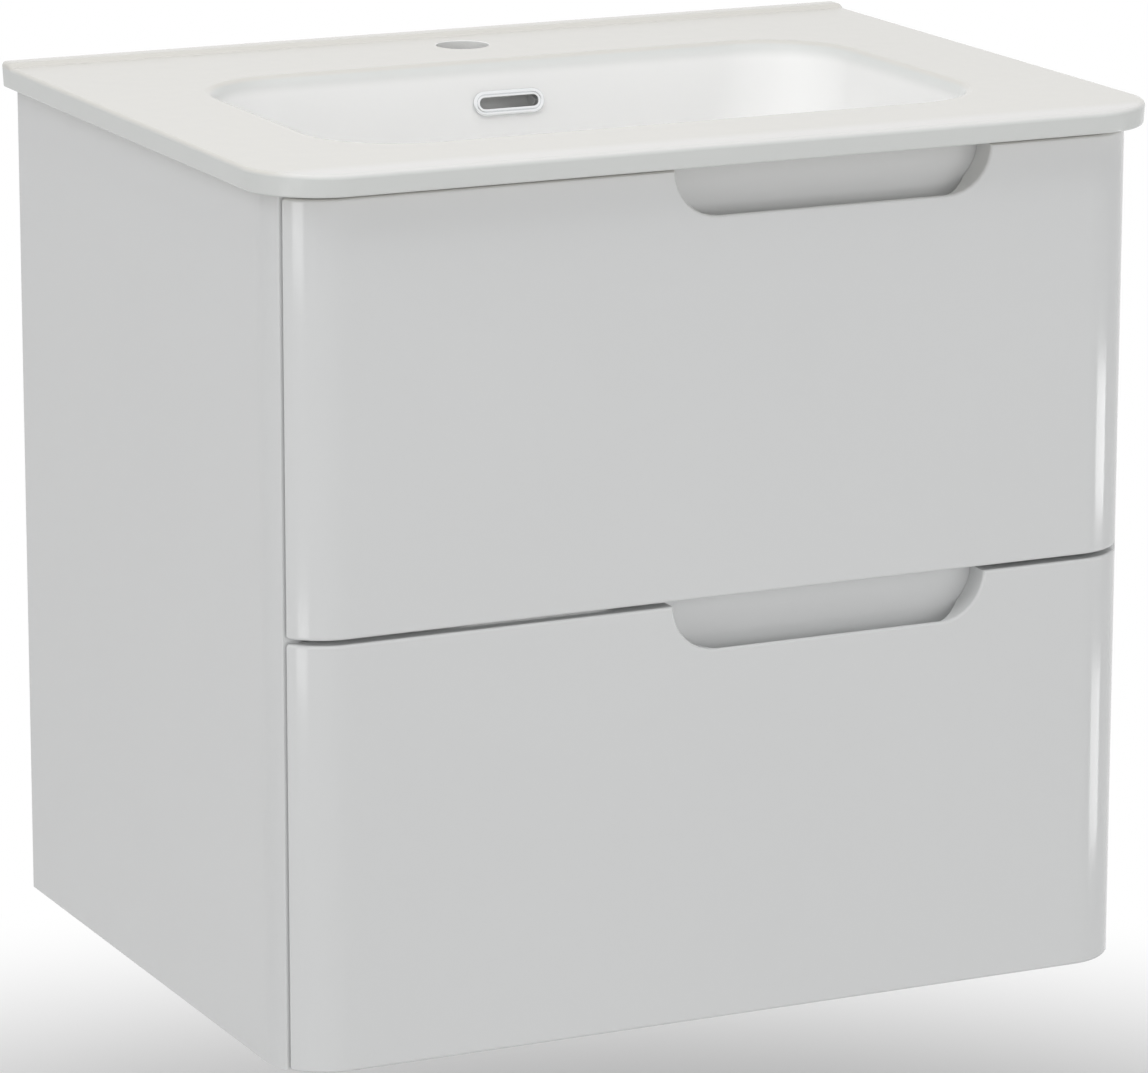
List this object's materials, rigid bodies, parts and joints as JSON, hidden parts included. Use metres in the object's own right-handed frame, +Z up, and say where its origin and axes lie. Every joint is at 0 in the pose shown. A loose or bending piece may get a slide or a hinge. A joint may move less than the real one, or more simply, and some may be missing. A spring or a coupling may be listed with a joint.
{
  "type": "bathroom vanity cabinet",
  "caption": "Wall-hung bathroom vanity: a basin with tap hole and overflow on a round-cornered cabinet, with full-extension drawers opened by finger grips cut into their fronts.",
  "frame": {"origin": "on the wall, at the middle of the hanging rail's back face", "axes": "+X to the right seen from the front, +Y into the wall, +Z up"},
  "size_m": [0.61, 0.4608, 0.5621],
  "materials": {
    "basin_glaze": "gloss",
    "chrome_trim": "polished",
    "lacquer": "gloss lacquer on fibreboard",
    "melamine": "melamine-faced board",
    "zinc_steel": "zinc plated",
    "coated_steel": "powder coated satin",
    "moulded_plastic": "moulded"
  },
  "bodies": {
    "cabinet": {"basin": "basin_glaze", "overflow_ring": "chrome_trim", "side_panel_left": "lacquer", "side_panel_right": "lacquer", "bottom_panel": "melamine", "top_front_rail": "melamine", "hanging_rail": "melamine", "lower_rear_rail": "melamine", "hanger_left": "moulded_plastic", "hanger_right": "moulded_plastic", "hanger_hook_left": "zinc_steel", "hanger_hook_right": "zinc_steel", "upper_cabinet_rail_left": "zinc_steel", "upper_cabinet_rail_right": "zinc_steel", "lower_cabinet_rail_left": "zinc_steel", "lower_cabinet_rail_right": "zinc_steel"},
    "upper_drawer": {"upper_front": "lacquer", "upper_grip_backing": "lacquer", "upper_bottom": "melamine", "upper_back_left": "melamine", "upper_back_right": "melamine", "upper_trap_shroud": "moulded_plastic", "upper_side_left": "coated_steel", "upper_side_right": "coated_steel", "upper_front_bracket_left": "zinc_steel", "upper_front_bracket_right": "zinc_steel", "upper_drawer_rail_left": "zinc_steel", "upper_drawer_rail_right": "zinc_steel"},
    "lower_drawer": {"lower_front": "lacquer", "lower_grip_backing": "lacquer", "lower_bottom": "melamine", "lower_back": "melamine", "lower_side_left": "coated_steel", "lower_side_right": "coated_steel", "lower_front_bracket_left": "zinc_steel", "lower_front_bracket_right": "zinc_steel", "lower_drawer_rail_left": "zinc_steel", "lower_drawer_rail_right": "zinc_steel", "lower_gallery_rod_left": "coated_steel", "lower_gallery_rod_right": "coated_steel"},
    "upper_middle_rails": {"upper_middle_rail_left": "zinc_steel", "upper_middle_rail_right": "zinc_steel"},
    "lower_middle_rails": {"lower_middle_rail_left": "zinc_steel", "lower_middle_rail_right": "zinc_steel"}
  },
  "joints": [
    {"name": "upper_drawer_slide", "type": "slide", "parent": "cabinet", "child": "upper_drawer", "axis": [0, -1, 0], "range_m": [0, 0.33]},
    {"name": "upper_middle_rail_slide", "type": "slide", "parent": "cabinet", "child": "upper_middle_rails", "axis": [0, -1, 0], "range_m": [0, 0.165]},
    {"name": "lower_drawer_slide", "type": "slide", "parent": "cabinet", "child": "lower_drawer", "axis": [0, -1, 0], "range_m": [0, 0.33]},
    {"name": "lower_middle_rail_slide", "type": "slide", "parent": "cabinet", "child": "lower_middle_rails", "axis": [0, -1, 0], "range_m": [0, 0.165]}
  ],
  "couplings": [
    {"joint": "upper_middle_rail_slide", "follows": "upper_drawer_slide", "ratio": 0.5},
    {"joint": "lower_middle_rail_slide", "follows": "lower_drawer_slide", "ratio": 0.5}
  ]
}
